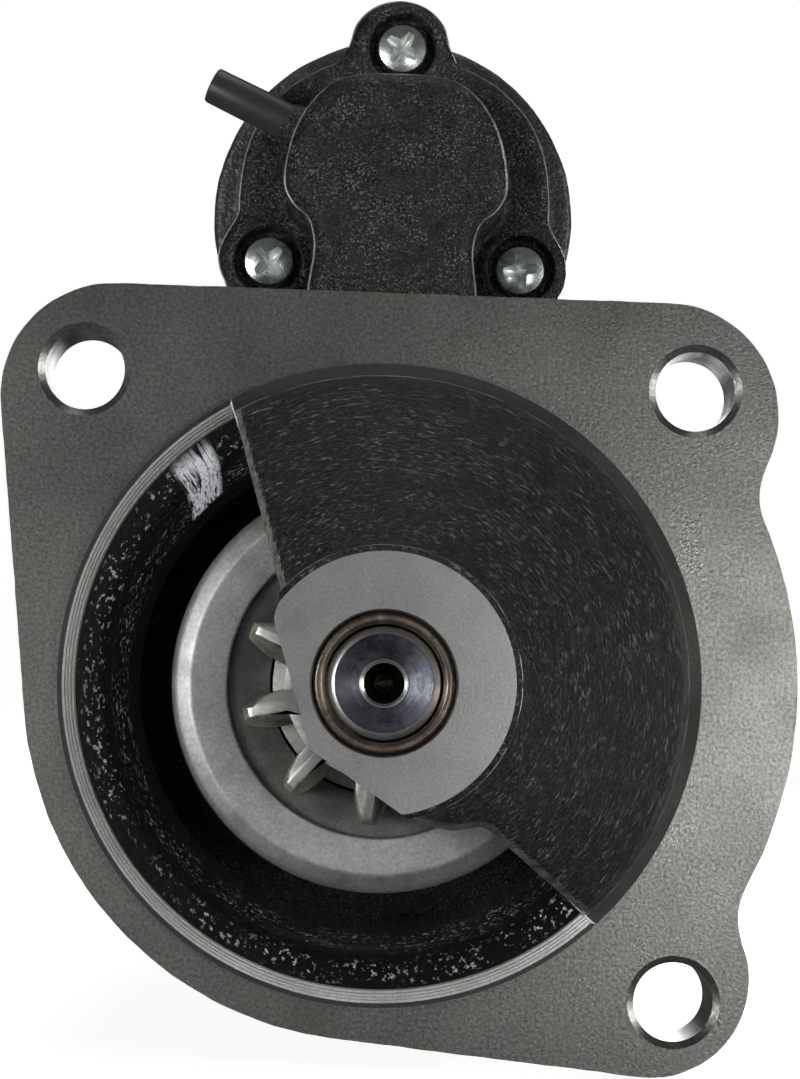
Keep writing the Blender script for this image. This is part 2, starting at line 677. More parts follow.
def streaked_patch(nodes, turn, y):
    """A bare patch at one side of the bore, streaked along it and leaning with depth."""
    lean = nodes.math("SUBTRACT", turn, nodes.times(y, 1.9))
    patch = nodes.times(nodes.band(lean, radians(127.5), radians(136.0), radians(0.7)),
                        nodes.band(y, -0.0012, 0.034, 0.0015))
    along = nodes.combine(nodes.times(lean, 54.0), nodes.times(y, 75.0))
    streaks = nodes.ramp(nodes.noise(1.0, 3.0, 0.62, vector=along), 0.41, 0.50)
    breaks = nodes.noise(1700, 3, 0.6, vector=nodes.position((1.0, 0.35, 1.0)))
    return nodes.times(patch, nodes.times(streaks, nodes.ramp(breaks, 0.22, 0.50)))


def detail_inner_gloss():
    """Bare iron shows through the bore's wet paint, and a faint glow stands for its sheen."""
    tree = MATERIALS["inner_gloss"].node_tree
    nodes, principled = Nodes(tree), tree.nodes["Principled BSDF"]
    x, y, z = nodes.split(nodes.position())
    flecks = granules(nodes, nodes.radius(x, z), y)
    patch = streaked_patch(nodes, nodes.math("ARCTAN2", z, x), y)
    bare = nodes.math("MAXIMUM", nodes.times(flecks, 0.5), patch, clamp=True)
    base = principled.inputs["Base Color"]
    nodes.feed(base, nodes.mix(bare, base.links[0].from_socket, (0.80, 0.82, 0.88)))
    # the glow is seen only when looking in from the front
    view = nodes.split(nodes.add("NewGeometry").outputs["Incoming"])
    facing = nodes.math("MAXIMUM", nodes.times(view["Y"], -1.0), 0.0)
    facing = nodes.math("POWER", facing, 14.0)
    glow = nodes.math("ADD", nodes.times(patch, 0.52), nodes.times(flecks, 0.20))
    glow = nodes.math("ADD", glow, 0.0042)
    principled.inputs["Emission Color"].default_value = (0.93, 0.96, 1.0, 1)
    nodes.feed(principled.inputs["Emission Strength"], nodes.times(glow, facing))


detail_inner_gloss()


def give(ob, *finishes):
    ob.data.materials.clear()
    for finish in finishes:
        ob.data.materials.append(MATERIALS[finish])


def finish_piece(ob, node, finish=None, body="housing", angle=32):
    """A finished piece that stands for a node of the frame, or adds to it when node is None."""
    if finish is not None:
        give(ob, finish)
    ob.data.shade_smooth()
    ob.data.set_sharp_from_angle(angle=radians(angle))
    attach(ob, body)
    if node is not None:
        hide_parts(node)


# ------------------------------------------------------------------ casting: outlines
FLANGE_RADIUS, RIM_RADIUS, FILLET = 60.5, 51.4, 10.0
ARC_STEPS = 16
# lobes round the mounting holes: x, z, radius
UPPER_RIGHT, UPPER_LEFT, LOWER_RIGHT = (40.0, 40.5, 16.3), (-39.9, 40.5, 16.3), (40.8, -41.0, 14.2)


def fillet_centre(cx, cz, radius):
    """The centre of the fillet that touches both a lobe and the flange circle."""
    reach, distance = FLANGE_RADIUS + FILLET, hypot(cx, cz)
    turn = acos((reach ** 2 + distance * distance - (radius + FILLET) ** 2)
                / (2 * reach * distance))
    angle = atan2(cz, cx) - copysign(turn, cz)
    return reach * cos(angle), reach * sin(angle)


def tangent_turn(cx, cz, radius):
    """The turn in degrees from a lobe's direction to where it touches the rim circle."""
    return degrees(acos((RIM_RADIUS - radius) / hypot(cx, cz)))


def flange_outline():
    def heading(x, z):
        return degrees(atan2(z, x))

    up, low, n = UPPER_RIGHT, LOWER_RIGHT, ARC_STEPS
    up_fillet, low_fillet = fillet_centre(*up), fillet_centre(*low)
    up_angle, low_angle = heading(*up_fillet), heading(*low_fillet)
    to_up = heading(up[0] - up_fillet[0], up[1] - up_fillet[1])
    to_low = heading(low_fillet[0] - low[0], low_fillet[1] - low[1])
    side = heading(*UPPER_LEFT[:2]) + tangent_turn(*UPPER_LEFT)
    bottom = 360 + heading(*low[:2]) - tangent_turn(*low)
    points = arc(0, 0, FLANGE_RADIUS, low_angle, up_angle, 4 * n)
    points += arc(*up_fillet, FILLET, up_angle + 180, to_up, n)[1:]
    points += arc(*up, to_up - 180, 90, 2 * n)[1:]
    points += arc(*UPPER_LEFT, 90, side, 2 * n)
    points += arc(0, 0, RIM_RADIUS, side, bottom, 3 * n)
    points += arc(*low, bottom - 360, to_low, 3 * n)
    points += arc(*low_fillet, FILLET, to_low + 180, low_angle + 180, n)[1:-1]
    return points


def window_outline():
    """The nose's open side, towards -x and -z: x, z, corner radius, run out past the casting."""
    upper_way, lower_way = Vector((-8.95, 27.1)).normalized(), Vector((16.9, -14.0)).normalized()
    upper, lower = Vector((-12.65, 9.8)), Vector((13.4, -17.4))
    points = [(*(upper + upper_way * 62), 0), (*upper, 4), (-13.5, 7.2, 3), (-9.9, -3.6, 5),
              (-8.6, -8.1, 2.5), (4.9, -17.0, 3), (9.1, -18.0, 4), (*lower, 3),
              (*(lower + lower_way * 62), 0), (40, -95, 0), (-95, -95, 0), (-95, 66, 0)]
    return rounded(points, 2.0, 8, widest=179)


# right halves of the outlines round the solenoid end: x, z
LUG_HALF = [(0.0, 111.1), (4.0, 110.1), (6.9, 107.4), (8.1, 103.6), (9.3, 101.2), (12.6, 99.6),
            (16.4, 97.4), (20.4, 93.6), (22.9, 89.5), (24.4, 84.6), (25.0, 79.0), (25.1, 75.8),
            (26.5, 73.2), (27.9, 70.2), (27.9, 67.2), (26.4, 64.2), (23.5, 61.5), (20.0, 57.0),
            (18.0, 50.0)]
DOME_HALF = [(0.0, 94.5), (5.0, 94.3), (9.6, 93.2), (13.2, 90.0), (15.7, 85.6), (17.0, 80.2),
             (17.0, 76.6), (15.5, 73.9), (13.4, 72.2), (12.4, 69.6), (12.2, 66.4), (12.9, 61.0),
             (13.4, 52.0), (13.5, 42.0)]


def mirrored(half):
    """The smooth symmetric outline from its right half, which starts on the middle line."""
    return smooth_line(half + [(-x, z) for x, z in half[::-1][:-1]], closed=True, steps=5)


LUG, DOME, WINDOW = mirrored(LUG_HALF), mirrored(DOME_HALF), window_outline()

# the nose cone's outer skin: radius, y
CONE = [(17.0, -64.0), (18.1, -61), (20.6, -57), (24.2, -51.2), (30.6, -39.8), (37.2, -28.5),
        (41.6, -20), (43.3, -12.5), (43.7, -7.4), (44.4, -5.8)]
# the cavity and the yoke's seat at its back: radius, y
CAVITY = [(0, -54), (20.5, -54), (24.0, -43), (30.5, -31), (37.4, -19), (40, -11), (40, 0),
          (39.2, 20), (38.5, 50), (33.5, 50), (33.5, 60.8), (43.9, 60.8), (43.9, 67), (0, 67)]
# the turned steps just inside the mouth: radius, y
MOUTH = [(0, -6.0), (45.45, -6.0), (45.35, -4.75), (45.0, -4.6), (44.9, -4.25), (44.6, -4.1),
         (44.5, -3.75), (44.2, -3.6), (44.1, -3.2), (43.8, -3.05), (43.6, -2.6), (43.0, -1.7),
         (42.4, -0.8), (41.8, 0.2), (41.1, 1.4), (40.5, 2.8), (40.0, 4.6), (39.6, 7.0), (0, 7.0)]


# ------------------------------------------------------------------ casting: body
def raw_casting():
    """The solid casting as one body, before any machining."""
    body = [(0, -71.2), (16.2, -71.2), (16.6, -69.0), *CONE, (47.2, -5.5), (47.2, 6), (48.9, 46),
            (48.9, 66), (0, 66)]
    solenoid_wall = [(-17.3, 30), (17.3, 30), (17.3, 53), (14.5, 56.8), (-14.5, 56.8), (-17.3, 53)]
    solids = [
        lathe("nose and bell", body),
        prism("flange", flange_outline(), -1.6, 12.9),
        prism("dome", DOME, 24.0, 62.0, edge=2.6, steps=5),
        prism("dome foot", solenoid_wall, 14.2, 64.3),
        soft_lathe("solenoid seat", [(0, 60.6), (29.9, 60.6), (29.9, 65.9), (0, 65.9)],
                   1.0, 3, 128, SOLENOID),
        prism("lugs", LUG, 46.6, 62.0, edge=1.0)]
    for x, z in SOLENOID_SCREWS:
        solids.append(cylinder("screw boss", 7.6, 46.4, 65, at=along_y(x, z)))
        solids.append(soft_lathe("boss face", [(0, 45.5), (6.6, 45.5), (7.2, 47.5), (0, 47.5)],
                                 0.5, 3, 64, along_y(x, z)))
    top = [(-12.5, 98.5), (12.5, 98.5), (9.4, 101.2), (8.0, 103.4), (0, 105), (-8.0, 103.4),
           (-9.4, 101.2)]
    solids.append(prism("top fillet", smooth_line(top, True, 4), 47.2, 65.2))
    solids.append(cylinder("pivot boss", 7.5, -19.4, 27.1, at=PIVOT))
    vent_boss = [(0, -6), (9.0, -6), (6.8, -2.2), (5.4, -0.4), (4.3, 1.2), (3.6, 2.8), (3.2, 4.6),
                 (2.9, 5.6), (0, 5.6)]
    solids.append(lathe("vent boss", vent_boss, 64, VENT))
    for side in (-1, 1):
        solids.append(box("web to seat", side * 13 - 2.2, side * 13 + 2.2, 13, 60, 40, 54.8))
    return join(*solids)


def as_cast(body):
    """Blends the joints and gives the skin the unevenness of sand casting."""
    remesh = body.modifiers.new("remesh", "REMESH")
    remesh.mode = "VOXEL"
    remesh.voxel_size = 0.62 * MM
    smooth = body.modifiers.new("smooth", "SMOOTH")
    smooth.factor, smooth.iterations = 0.5, 6
    body = applied(body)
    mesh = body.data
    points = read_vectors(mesh.vertices, "co")
    normals = read_vectors(mesh.vertices, "normal")
    lumps = np.array([fractal(Vector(p) * 260.0, 1.0, 2.0, 3) for p in points])
    mesh.vertices.foreach_set("co", (points + normals * lumps[:, None] * 0.00009).ravel())
    mesh.update()
    return body


def machined(body):
    """The faces, bores, holes and window cut into the casting."""
    face = [(46.0, 0.0), (46.0, -4.95), (45.95, -5.0), (44.0, -5.0), (44.15, -8.0), (96, -8.0),
            (96, 0.0)]
    tip = [(0, -69.98), (15.75, -69.98), (16.5, -69.2), (30, -66.9), (30, -80), (0, -80)]
    body = cut(
        body,
        lathe("mounting face", face, 256),
        lathe("nose tip", tip, 128),
        lathe("cavity", CAVITY, 200),
        cylinder("bush bore", 8.62, -71, -52, 96),
        lathe("bore chamfer", [(0, -70.6), (9.25, -70.6), (8.6, -69.55), (0, -69.55)], 96),
        box("fork chamber", -9.8, 9.8, 27.3, 58, 25, 88),
        cylinder("plunger way", 13.3, 28, 67, at=SOLENOID))
    mount = [(0, -1), (6.75, -1), (6.75, -0.001), (5.75, 0.75), (5.7, 12.2), (6.4, 13.2),
             (6.4, 15), (0, 15)]
    screw = [(0, 40), (5.95, 40), (5.95, 45.2), (5.6, 45.6), (5.3, 46.4), (5.2, 48.7), (2.7, 48.7),
             (2.7, 68), (0, 68)]
    holes = [lathe("mounting hole", mount, 96, along_y(x, z)) for x, z in MOUNT_HOLES]
    holes += [lathe("screw hole", screw, 64, along_y(x, z)) for x, z in SOLENOID_SCREWS]
    body = cut(body, heap("holes", holes))
    body = cut(body, cylinder("pivot hole", 4.25, -24, 30, 48, PIVOT),
               cylinder("vent hole", 3.0, -4, 12, 48, VENT),
               *[cylinder("through bolt hole", 2.9, 51, 68, 32, along_y(side * THROUGH_BOLT_X))
                 for side in (-1, 1)])
    body = cut(body, prism("window", WINDOW, -79, -4.93))
    # the mouth's steps are turned only where the window leaves it open
    mouth = boolean(lathe("mouth", MOUTH, 256), prism("open side", offset(WINDOW, -0.35), -8, 9),
                    "INTERSECT")
    return cut(body, mouth)


def to_window(points):
    """Distance of each (x, z) from the window's outline."""
    line = np.array(WINDOW)
    best = np.full(len(points), 1e9)
    for start, end in zip(line, np.roll(line, -1, axis=0)):
        side = end - start
        t = np.clip(((points - start) @ side) / max(side @ side, 1e-9), 0, 1)
        away = np.linalg.norm(points - (start + t[:, None] * side), axis=1)
        best = np.minimum(best, away)
    return best


def bend_sawn_edge(ob, wide=1.15, deep=0.85):
    """The cone's outer skin bends in along the window, over a band this wide and deep."""
    points = read_vectors(ob.data.vertices, "co") * 1000
    r, y = np.hypot(points[:, 0], points[:, 2]), points[:, 1]
    cone_r, cone_y = np.array(CONE).T
    outer = np.interp(y, cone_y, cone_r)
    slope = np.interp(y, cone_y, np.gradient(cone_r, cone_y))
    length = np.sqrt(1 + slope * slope)
    skin = (np.abs(r - outer) < 0.55 * length) & (y > -68.8) & (y < -7.2)
    near = np.full(len(points), 1e9)
    near[skin] = to_window(points[skin][:, [0, 2]])
    shift = np.clip(1 - near / wide, 0, 1) * deep
    shift *= np.clip((y + 68.8) / 3, 0, 1)
    safe = np.maximum(r, 1e-6)
    points[:, 0] -= shift * (1 / length) * points[:, 0] / safe
    points[:, 2] -= shift * (1 / length) * points[:, 2] / safe
    points[:, 1] -= shift * (-slope / length)
    ob.data.vertices.foreach_set("co", (points / 1000).ravel())
    ob.data.update()
    return ob


def retile(ob):
    """Even triangles over the machined planes in place of the long ones the cuts leave."""
    planes = (0.0, -0.005)                     # y in metres
    bm = bmesh.new()
    bm.from_mesh(ob.data)
    for v in bm.verts:
        for plane in planes:
            if abs(v.co.y - plane) < 4e-6:
                v.co.y = plane
    bmesh.ops.triangulate(bm, faces=[f for f in bm.faces if len(f.verts) > 4],
                          quad_method="BEAUTY", ngon_method="BEAUTY")
    for plane in planes:
        stored = float(np.float32(plane))      # as the mesh keeps it
        flat = [f for f in bm.faces if all(v.co.y == stored for v in f.verts)]
        inside = set(flat)
        inner = [e for e in {e for f in flat for e in f.edges}
                 if len(e.link_faces) == 2 and all(f in inside for f in e.link_faces)]
        bmesh.ops.beautify_fill(bm, faces=flat, edges=inner, method="ANGLE")
    bm.to_mesh(ob.data)
    bm.free()
    ob.data.update()
    return ob


CASTING_FINISHES = ("casting_black", "machined_face", "turned_iron", "hub_face", "bore_wall",
                    "sawn_edge", "inner_gloss", "cone_black", "rough_shoulder", "parting_line",
                    "pilot_ring", "flange_rim")


def paint_casting(ob):
    """Gives each face its finish by its place and heading; later rules paint over earlier."""
    give(ob, *CASTING_FINISHES)
    faces = ob.data.polygons
    centres, normals = read_vectors(faces, "center") * 1000, read_vectors(faces, "normal")
    x, y, z = centres.T
    normal_y = normals[:, 1]
    index = np.zeros(len(faces), np.int32)
    r = np.hypot(x, z)
    outward = (normals[:, 0] * x + normals[:, 2] * z) / np.maximum(r, 1e-6)
    near = np.full(len(faces), 1e9)
    nose = (y < -4.0) & (y > -72)
    near[nose] = to_window(centres[nose][:, [0, 2]])

    def is_now(finish):
        return index == CASTING_FINISHES.index(finish)

    def paint(finish, where):
        index[where] = CASTING_FINISHES.index(finish)

    paint("cone_black", (y < -4.9) & (y > -69.8) & (outward > 0.1))
    paint("rough_shoulder", (y < -5.02) & (y > -10.5) & (outward > -0.05))
    paint("inner_gloss", (r < 44.6) & (y > -53.9) & (y < 60) & (outward < -0.05) & (r > 20))
    paint("inner_gloss", np.abs(y + 54) < 0.05)
    paint("machined_face", (np.abs(y) < 0.02) & (normal_y < -0.99))
    paint("pilot_ring", (r > 45.9) & (r < 46.6) & (y < -0.003) & (y > -5))
    paint("pilot_ring", (r > 43.9) & (r < 46.05) & (y < -4.7) & (y > -5.02))
    paint("flange_rim", (np.hypot(x, z - SOLENOID_Z) > 23.5) & (y > 60.3) & (z > 40)
          & is_now("casting_black"))
    paint("turned_iron", (r > 43.65) & (r < 45.9) & (y < 1.2) & (y > -5.2) & (outward < 0.02)
          & (near > 0.03) & ~is_now("machined_face") & ~is_now("pilot_ring"))
    paint("hub_face", (y < -69.0) & (r < 16.7) & (normal_y < -0.9))
    paint("bore_wall", (r < 9.4) & (y < -50))
    for hole_x, hole_z in MOUNT_HOLES:
        away = np.hypot(x - hole_x, z - hole_z)
        paint("bore_wall", (away < 6.76) & (y > 0.001) & (y < 13.4))
        paint("machined_face", (away < 6.8) & (y > 0.0005) & (y < 0.74))
    # a bright line part way round the top screw's counterbore
    screw_x, screw_z = SOLENOID_SCREWS[0]
    away = np.hypot(x - screw_x, z - screw_z)
    worn = np.sin(np.arctan2(z - screw_z, x - screw_x) - 0.4) > -0.55
    paint("parting_line", (away > 5.75) & (away < 5.95) & (y > 45) & (y < 45.6)
          & (normal_y < -0.3) & (normal_y > -0.9) & worn)
    paint("sawn_edge", (near < 0.03) & (np.abs(normal_y) < 0.4))
    paint("sawn_edge", (near < 0.95) & (y < -7.4) & (y > -68.4) & (outward > 0.0)
          & is_now("cone_black"))
    faces.foreach_set("material_index", index)


def build_casting():
    body = raw_casting()
    body.name = body.data.name = "nose_casting"
    body = retile(bend_sawn_edge(machined(as_cast(body))))
    paint_casting(body)
    finish_piece(body, "drive_end_housing", angle=34)


def ridge(name, outline, y, proud):
    """The fine flash line where the two halves of the mould met."""
    curve = bpy.data.curves.new(name, "CURVE")
    curve.dimensions = "3D"
    curve.bevel_depth = proud * MM
    curve.bevel_resolution = 2
    curve.use_fill_caps = True
    spline = curve.splines.new("POLY")
    spline.points.add(len(outline) - 1)
    for point, (x, z) in zip(spline.points, outline):
        point.co = (x * MM, y * MM, z * MM, 1)
    ob = add(name, curve)
    bpy.context.view_layer.update()
    graph = bpy.context.evaluated_depsgraph_get()
    mesh = bpy.data.meshes.new_from_object(ob.evaluated_get(graph))
    bpy.data.objects.remove(ob, do_unlink=True)
    finish_piece(add(name, mesh), None, "parting_line")


def upper(outline, z_min):
    """The part of a closed outline above a height, as one open run."""
    m = len(outline)
    keep = [z > z_min for x, z in outline]
    start = next(i for i in range(m) if keep[i] and not keep[i - 1])
    run = []
    for k in range(m):
        i = (start + k) % m
        if not keep[i]:
            break
        run.append(outline[i])
    return run


build_casting()
ridge("dome_parting_line", upper(offset(DOME, -0.04), 57.0), y=27.0, proud=0.20)
ridge("lug_parting_line", upper(offset(LUG, -0.03), 60.5), y=47.9, proud=0.19)

# ------------------------------------------------------------------ bush, shaft, stop ring
bush = soft_lathe("bush", [(7.12, -69.0, 0.3), (7.5, -69.55, 0.3), (8.15, -69.55, 0.3),
                           (8.5, -69.15, 0.2), (8.5, -54.6, 0.2), (7.12, -54.6, 0.2)], 0.2, 3, 128)
finish_piece(bush, "nose_bush", "bush_bronze")

SPLINES, SPLINE_STEPS, SPLINE_LEAD, SPLINE_ZERO_Y = 8, 14, 240.0, 12.0
SPLINE_OUTER, SPLINE_ROOT = 9.0, 7.7
SPLINE_FRONT, SPLINE_BACK, SPLINE_SECTIONS = 11.6, 57.6, 24
# the plain shaft in front of the splines, from inside the centre hole: radius, y
SHAFT_FRONT = [
    (0.35, -59.5), (1.15, -63.4), (1.2, -65.4), (1.6, -66.4), (2.35, -68.0), (2.45, -68.3),
    (2.75, -68.5), (2.95, -68.46), (3.1, -68.40), (5.75, -68.40), (5.95, -68.36), (6.05, -68.32),
    (6.72, -68.0), (6.86, -67.8), (6.9, -67.3), (6.9, -30.0), (6.9, 11.0), (7.4, 11.4)]
# and behind them
SHAFT_BACK = [(8.9, 57.9), (9.0, 58.2), (9.0, 74.0), (10.5, 74.3), (10.5, 205.0), (7.4, 205.3),
              (7.4, 223.4), (6.7, 224.2)]


def spline_twist(y):
    return 2 * pi * (y - SPLINE_ZERO_Y) / SPLINE_LEAD


def spline_ring(y, blend):
    """One section of the splines; blend is the share of their full height."""
    pitch, twist = 2 * pi / SPLINES, spline_twist(y)
    points = []
    for spline in range(SPLINES):
        for k in range(SPLINE_STEPS):
            across = -3 + 6 * k / SPLINE_STEPS
            rise = min(max((1.65 - abs(across)) / 0.15, 0.0), 1.0)
            r = SPLINE_ROOT + (SPLINE_OUTER - SPLINE_ROOT) * rise * blend
            a = (spline + 0.5 + across / 6) * pitch + twist
            points.append((r * cos(a), y, r * sin(a)))
    return points


def plain_ring(r, y, twist):
    n = SPLINES * SPLINE_STEPS
    angles = [2 * pi * (k / n) + twist for k in range(n)]
    return [(r * cos(a), y, r * sin(a)) for a in angles]


def build_shaft():
    sections = [plain_ring(r, y, spline_twist(11.5)) for r, y in SHAFT_FRONT]
    for i in range(SPLINE_SECTIONS + 1):
        y = SPLINE_FRONT + (SPLINE_BACK - SPLINE_FRONT) * i / SPLINE_SECTIONS
        sections.append(spline_ring(y, 1.0 if i else 0.3))
    sections += [plain_ring(r, y, spline_twist(SPLINE_BACK)) for r, y in SHAFT_BACK]
    shaft = loft("shaft", sections)
    give(shaft, "ground_steel", "shaft_end_blue", "centre_hole", "shaft_chamfer")
    for face in shaft.data.polygons:
        centre = face.center * 1000
        r = hypot(centre.x, centre.z)
        if centre.y < -59 and r < 2.5:
            face.material_index = 2
        elif centre.y < -68.2 and 3.0 < r < 5.95:
            face.material_index = 1
        elif centre.y < -67.2 and r > 5.9:
            face.material_index = 3
    finish_piece(shaft, "armature_shaft", body="armature", angle=25)


build_shaft()
stop = soft_lathe("stop_collar", [(7.2, -51.4), (9.0, -51.4), (9.7, -50.7), (9.7, -44.2),
                                  (7.2, -44.2)], 0.25, 3, 96)
finish_piece(stop, "stop_ring", "plain_steel", body="armature")

# ------------------------------------------------------------------ pinion and clutch
TEETH, TOOTH_PHASE, FLANK_STEPS = 10, 159.3, 6
TOOTH_ROOT = 12.8
PINION_FRONT, PINION_BACK, PINION_STOP = -33.8, -11.3, -28.6
# y, tip radius, then half widths in degrees: root left, root right, tip left, tip right
TOOTH_STATIONS = [
    (PINION_FRONT, 17.2, 10.3, 2.0, 3.1, 0.6),
    (PINION_FRONT + 0.25, 17.9, 10.5, 2.4, 3.2, 0.8),
    (PINION_FRONT + 0.9, 18.45, 10.6, 3.3, 3.3, 1.1),
    (PINION_FRONT + 2.2, 18.7, 10.6, 5.4, 3.3, 1.7),
    (PINION_FRONT + 4.0, 18.75, 10.6, 8.4, 3.3, 2.6),
    (PINION_FRONT + 5.2, 18.75, 10.6, 10.6, 3.3, 3.3),
    (PINION_BACK - 0.5, 18.75, 10.6, 10.6, 3.3, 3.3),
    (PINION_BACK, 18.4, 10.6, 10.6, 3.3, 3.3)]
# the sleeve behind the teeth and the bore: radius, y
SLEEVE = [(15.0, PINION_BACK), (15.0, 9.5), (14.7, 9.8), (7.6, 9.8), (7.3, 9.5),
          (7.3, PINION_STOP), (10.3, PINION_STOP), (10.3, PINION_FRONT + 0.4),
          (10.6, PINION_FRONT)]


def tooth_row(y, tip, left, right, tip_left, tip_right):
    """One section through the teeth, their flanks bowed like an involute."""
    root = TOOTH_ROOT
    tooth = []                                 # radius, angle from the tooth's middle
    for k in range(FLANK_STEPS + 1):
        t = k / FLANK_STEPS
        bow = sin(pi * t) * 1.1
        tooth.append((root + (tip - root) * t, -(left + (tip_left - left) * t) - bow))
    for t in (0.25, 0.5, 0.75):
        tooth.append((tip + 0.02 * sin(pi * t), -tip_left + (tip_left + tip_right) * t))
    for k in range(FLANK_STEPS, -1, -1):
        t = k / FLANK_STEPS
        bow = sin(pi * t) * 1.1 * (1 if right > 2 else 0.3)
        tooth.append((root + (tip - root) * t, (right + (tip_right - right) * t) + bow))
    for t in (0.25, 0.5, 0.75):
        tooth.append((root - 0.12 * sin(pi * t), right + (360 / TEETH - left - right) * t))
    points = []
    for i in range(TEETH):
        start = TOOTH_PHASE + 360 * i / TEETH
        points += [(r * cos(radians(start + a)), y, r * sin(radians(start + a)))
                   for r, a in tooth]
    return points


def build_pinion():
    rows = [tooth_row(*station) for station in TOOTH_STATIONS]
    angles = [atan2(z, x) for x, y, z in rows[-1]]
    rows += [[(r * cos(a), y, r * sin(a)) for a in angles] for r, y in SLEEVE]
    gear = loft("pinion_gear", rows, close=True)
    give(gear, "pinion_steel", "pinion_bevel", "worn_edge", "pinion_face")
    for face in gear.data.polygons:
        centre = face.center * 1000
        if centre.y >= -28.4:
            continue
        if hypot(centre.x, centre.z) > 12.6 and -0.93 < face.normal.y < -0.10:
            face.material_index = 1
        elif face.normal.y <= -0.93:
            face.material_index = 3
    bevel = gear.modifiers.new("bevel", "BEVEL")
    bevel.width, bevel.segments = 0.11 * MM, 2
    bevel.limit_method, bevel.angle_limit = "ANGLE", radians(38)
    bevel.material = 2                         # worn_edge
    finish_piece(applied(gear), "pinion", body="pinion", angle=28)


build_pinion()
cup = soft_lathe("clutch_cup", [
    (21.3, -12.0, 0.5), (26.6, -12.0, 1.6), (29.3, -10.6, 2.0), (29.3, 15.4, 1.2),
    (25.5, 15.4, 0.3), (25.5, 14.2, 0.3), (28.2, 14.2, 0.6), (28.2, -9.9, 1.0),
    (26.4, -10.9, 0.8), (21.3, -10.9, 0.4)], 0.3, 7, 224)
finish_piece(cup, "clutch_cover", "pressed_steel", body="clutch", angle=40)
washer = soft_lathe("thrust_washer", [(15.4, -10.55), (26.2, -10.55), (26.2, -8.95),
                                      (15.4, -8.95)], 0.2, 2, 160)
finish_piece(washer, "clutch_washer", "oiled_washer", body="clutch")


# ------------------------------------------------------------------ cross-recess screws
def cross_recess(head_radius, head_height, spin):
    """The tapered cross that is cut from a screw's head."""
    wide, long = head_radius * 0.150, head_radius * 0.645
    outline = []
    for quarter in range(4):
        c, s = cos(quarter * pi / 2), sin(quarter * pi / 2)
        for x, y, r in ((long, -wide * 0.9, 0.40), (long, wide * 0.9, 0.40),
                        (wide * 1.3, wide * 1.3, 0.30)):
            outline.append((x * c - y * s, x * s + y * c, r * head_radius / 4.15))
    outline = rounded(outline, 0.3, 5)
    top = -head_height
    stations = ((top - 0.8, 1.30), (top, 1.20), (top + 0.46, 1.0), (top + 0.70, 0.94),
                (top + head_height * 0.42, 0.72), (top + head_height * 0.60, 0.34))
    rows = [[(x * k, y * k, z) for x, y in outline] for z, k in stations]
    return place(loft("cross", rows), Matrix.Rotation(spin, 4, "Z"))


def paint_screw(ob, head_radius, head_height):
    """The recess walls, with a bright rim where they meet the crown."""
    give(ob, "zinc_plate", "recess_floor", "worn_edge")
    for face in ob.data.polygons:
        centre = face.center * 1000
        r = hypot(centre.x, centre.y)
        crown = -head_height + 0.2 * head_height * (r / (head_radius * 0.86)) ** 2.2
        if (r < head_radius * 0.78 and abs(face.normal.z) < 0.84
                and crown - 0.02 < centre.z < min(0, -head_height + 0.50)):
            face.material_index = 2
        elif r < head_radius * 0.68 and crown + 0.09 < centre.z < 0:
            face.material_index = 1


def cross_screw(name, node, at, *, head_radius, head_height, shank_radius, length, spin, pitch):
    """Pan head with a domed crown, a tapered cross recess and a threaded shank along local +z."""
    profile = [(0, -head_height)]
    for k in range(1, 9):
        t = k / 8
        profile.append((head_radius * 0.86 * t, -head_height + head_height * 0.20 * t ** 2.2))
    for k in range(1, 6):
        a = pi / 2 * k / 5
        profile.append((head_radius * (0.86 + 0.14 * sin(a)),
                        -head_height * 0.80 + head_height * 0.42 * (1 - cos(a))))
    profile += [(head_radius, -head_height * 0.10), (head_radius - 0.15, 0),
                (shank_radius + 0.1, 0), (shank_radius - 0.1, 0.4)]
    profile += threads(1.2, length - 0.8, shank_radius, 0.22, pitch, crest=0.55)
    profile += [(shank_radius - 0.22, length - 0.8), (shank_radius - 0.7, length), (0, length)]
    ob = lathe(name, profile, 96, Matrix.Identity(4))
    ob = cut(ob, cross_recess(head_radius, head_height, spin))
    paint_screw(ob, head_radius, head_height)
    finish_piece(place(ob, at), node, angle=28)


for tag, (x, z), spin in zip(("top", "left", "right"), SOLENOID_SCREWS, (0.585, 0.785, -0.14)):
    cross_screw(f"dome_screw_{tag}", f"solenoid_screw_{tag}", aim((x, 48.4, z), (0, 1, 0)),
                head_radius=4.15, head_height=3.0, shank_radius=2.2, length=24.8, spin=spin,
                pitch=0.8)

# ------------------------------------------------------------------ vent tube
vent = soft_lathe("vent_pipe", [(1.9, -3.0), (2.8, -3.0), (2.85, 3.0), (2.95, 9.0),
                                (2.85, 17.6, 0.3), (2.7, 18.0, 0.2), (2.0, 18.0, 0.2),
                                (1.9, 17.7)], 0.2, 3, 72, VENT)
finish_piece(vent, "vent_tube", "black_rubber")


# ------------------------------------------------------------------ yoke and pole screws
def build_yoke():
    yoke = soft_lathe("yoke_tube", [(43.6, YOKE_FRONT), (YOKE_RADIUS, YOKE_FRONT),
                                    (YOKE_RADIUS, YOKE_BACK), (43.6, YOKE_BACK)], 0.5, 3, 256)
    yoke = cut(yoke, box("lead slot", -8.3, 8.3, 160, 171.5, 35, 60))
    sink = [(0, 40), (4.3, 40), (4.3, 45.2), (8.4, 48.9), (8.4, 55), (0, 55)]
    for angle in POLE_ANGLES:
        yoke = cut(yoke, lathe("countersink", sink, 64, radial(angle, POLE_Y)))
    finish_piece(yoke, "yoke", "satin_black_paint")


